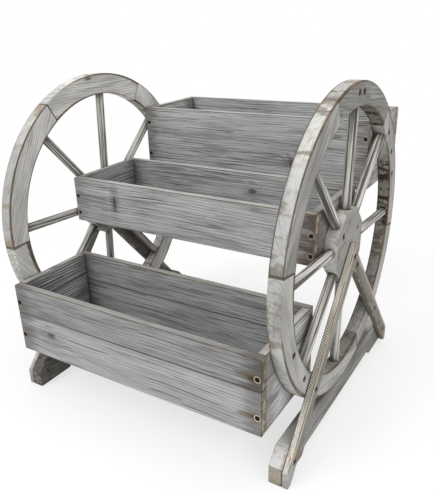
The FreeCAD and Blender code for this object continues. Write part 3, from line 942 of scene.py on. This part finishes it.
def leg_marks(tree, look, colour):
    # The bare wood goes a little way over the arris, in a ragged line.
    along = look["Along"]
    blot = long_noise(tree, look["Wood"], 60, 6, 3)
    over = add(tree, "Math", (blot, 16.0, look["From top"]), **times_plus)
    over = add(tree, "MapRange", (over, 17.5, 14.5, 0.0, 0.65), **soft)
    upper = add(tree, "MapRange", (look["From top"], 1.6, 0.8), **soft)
    speck = long_noise(tree, look["Wood"], 5, 3, 3, 0.6)
    speck = add(tree, "MapRange", (speck, 0.40, 0.60, 0.35, 0.95), **soft)
    low_down = add(tree, "MapRange", (along, 20.0, -140.0, 0.42, 1.0), **soft)
    colour = lay_coats(tree, colour, ("#b0a899", over), ("#dcd9d0", upper, speck, low_down))

    # The steps of the saw, a little slanting, on the middle of the leg.
    slant = add(tree, "Math", (look["Through"], 0.5, along), **times_plus)
    slant = add(tree, "Math", (slant, 2 * math.pi / saw_step), **times)
    teeth = add(tree, "Math", (slant,), operation="SINE")
    teeth = add(tree, "MapRange", (teeth, -0.1, 0.6, 0.0, 0.90), **soft)
    from_middle = add(tree, "Math", (along,), **absolute)
    middle = add(tree, "MapRange", (from_middle, 120.0, 70.0), **soft)
    colour = lay_coats(tree, colour, ("#5a4d3f", teeth, upper, middle))

    # Brown fibres at the foot, where it stands in the wet.
    fibre = long_noise(tree, look["Wood"], 30, 2.2, 2)
    fibre = add(tree, "MapRange", (fibre, 0.50, 0.58), **soft)
    foot = add(tree, "MapRange", (along, -150.0, -172.0, 0.0, 0.75), **soft)
    toe = add(tree, "MapRange", (along, -180.0, -190.0, 0.0, 0.55), **soft)
    colour = lay_coats(tree, colour, ("#8a5f40", fibre, foot), ("#a3a8aa", toe))
    return nail_stains(tree, look, colour), 0.0, look["From arris"]


leg_pine = whitewashed_pine("whitewashed_pine_leg", "#96928b", "#716d66", "#3b3630",
                            "#cdbf9f", leg_marks, ring_gap=6.0, rings=0.40, streaks=0.70)
paint(leg_pine, lambda name: "_leg" in name)

# %% [markdown]
# ## Iron nails
#
# Cut nails are sheared from plate and left black. Out of doors the scale turns
# dull brown-black, so they reflect little.

# %% Blackened iron
nail_iron = bpy.data.materials.new("blackened_iron")
nail_iron.use_nodes = True
tree = nail_iron.node_tree
tree.nodes.clear()
scale_spots = add(tree, "TexNoise", (add(tree, "TexCoord", out="Object"), 900.0, 3.0))
rust = add(tree, "MapRange", (scale_spots, 0.45, 0.68), **soft)
iron_colour = lay_coats(tree, linear("#171412"), ("#33241a", rust))
iron_rough = add(tree, "MapRange", (scale_spots, 0.3, 0.7, 0.60, 0.85))
iron_shader = add(tree, "BsdfPrincipled", {"Base Color": iron_colour, "Metallic": 0.5,
                                           "Roughness": iron_rough})
add(tree, "OutputMaterial", {"Surface": iron_shader}, out=None)
paint(nail_iron, lambda name: "nails" in name)

# %% [markdown]
# ## Worn arrises
#
# No edge on old wood is sharp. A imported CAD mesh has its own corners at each
# face, so they are first welded and flat faces are joined. Then a small bevel
# rounds what is left, with normals that keep the flat faces flat.

# %% Round the edges
def round_edges(piece, width_mm):
    weld = piece.modifiers.new("weld", "WELD")
    weld.merge_threshold = same_corner
    flat_faces = piece.modifiers.new("flat_faces", "DECIMATE")
    flat_faces.decimate_type = "DISSOLVE"
    flat_faces.angle_limit = math.radians(1.0)
    bevel = piece.modifiers.new("bevel", "BEVEL")
    bevel.width = width_mm / millimetres
    bevel.segments = 2
    bevel.limit_method = "ANGLE"
    bevel.angle_limit = math.radians(35)
    bevel.harden_normals = True
    bevel.use_clamp_overlap = True


worn_block, worn_board = 1.0, 0.8
for name, piece in nodes.items():
    if "nails" in name or "bottom" in name:
        continue
    round_edges(piece, worn_block if "felloe" in name or "hub" in name else worn_board)
print("edges rounded")

# %% [markdown]
# ## Floor, light and background
#
# The stand is shown as in a catalogue: on a pale floor that melts into a white
# background, under broad soft light from above and from the front. The floor
# is part light of its own to the camera, which keeps it near white and still
# shows the shadow. Far from the stand it is all its own light, so that no
# horizon shows. It doesn't throw any extra light on the wood.

# %% Floor
def seen_by_camera(tree):
    """1 for what the camera sees straight, in a mirror or through glass."""
    ray = add(tree, "LightPath", out=None).outputs
    seen = add(tree, "Math", (ray["Is Camera Ray"], ray["Is Glossy Ray"]), **larger)
    return add(tree, "Math", (seen, ray["Is Transmission Ray"]), **larger)


bpy.ops.mesh.primitive_plane_add(size=30)
floor = bpy.context.object
floor.name = "floor"
floor_paint = bpy.data.materials.new("floor_white")
floor_paint.use_nodes = True
tree = floor_paint.node_tree
tree.nodes.clear()
from_stand = add(tree, "VectorMath", (add(tree, "TexCoord", out="Object"),), **length)
glow_part = add(tree, "MapRange", (from_stand, 0.45, 2.2, 0.66, 1.0), **soft)
glow_part = add(tree, "Math", (glow_part, seen_by_camera(tree)), **times)
matt = add(tree, "BsdfDiffuse", {"Color": linear("#f6f6f5")})
glow = add(tree, "Emission", {"Color": (1, 1, 1, 1), "Strength": 1.0})
floor_mix = add(tree, "MixShader", (glow_part, matt, glow))
add(tree, "OutputMaterial", {"Surface": floor_mix}, out=None)
floor.data.materials.append(floor_paint)
print("floor", floor.dimensions.x, "m wide")

# %% World and lamps
world = bpy.data.worlds.new("white_room")
bpy.context.scene.world = world
world.use_nodes = True
tree = world.node_tree
tree.nodes.clear()
sky = add(tree, "Background", {"Color": (1, 1, 1, 1), "Strength": 0.62})
white = add(tree, "Background", {"Color": (1, 1, 1, 1), "Strength": 1.0})
both = add(tree, "MixShader", (seen_by_camera(tree), sky, white))
add(tree, "OutputWorld", {"Surface": both}, out=None)


def soft_lamp(name, place, size, watts):
    """A square lamp, as large as a studio softbox, that looks at the stand."""
    data = bpy.data.lights.new(name, "AREA")
    data.size = size
    data.energy = watts
    lamp = bpy.data.objects.new(name, data)
    lamp.location = place
    aim = stand_middle - Vector(place)
    lamp.rotation_euler = aim.to_track_quat("-Z", "Y").to_euler()
    bpy.context.scene.collection.objects.link(lamp)


stand_middle = Vector((0, 0, 0.3))
soft_lamp("key", (-1.2, -2.4, 2.9), 1.8, 62)
soft_lamp("fill", (2.8, -0.8, 1.8), 2.2, 34)
soft_lamp("top", (0.3, 0.6, 3.2), 2.4, 30)
bpy.context.scene.view_settings.view_transform = "Standard"
print("three lamps and a white room")
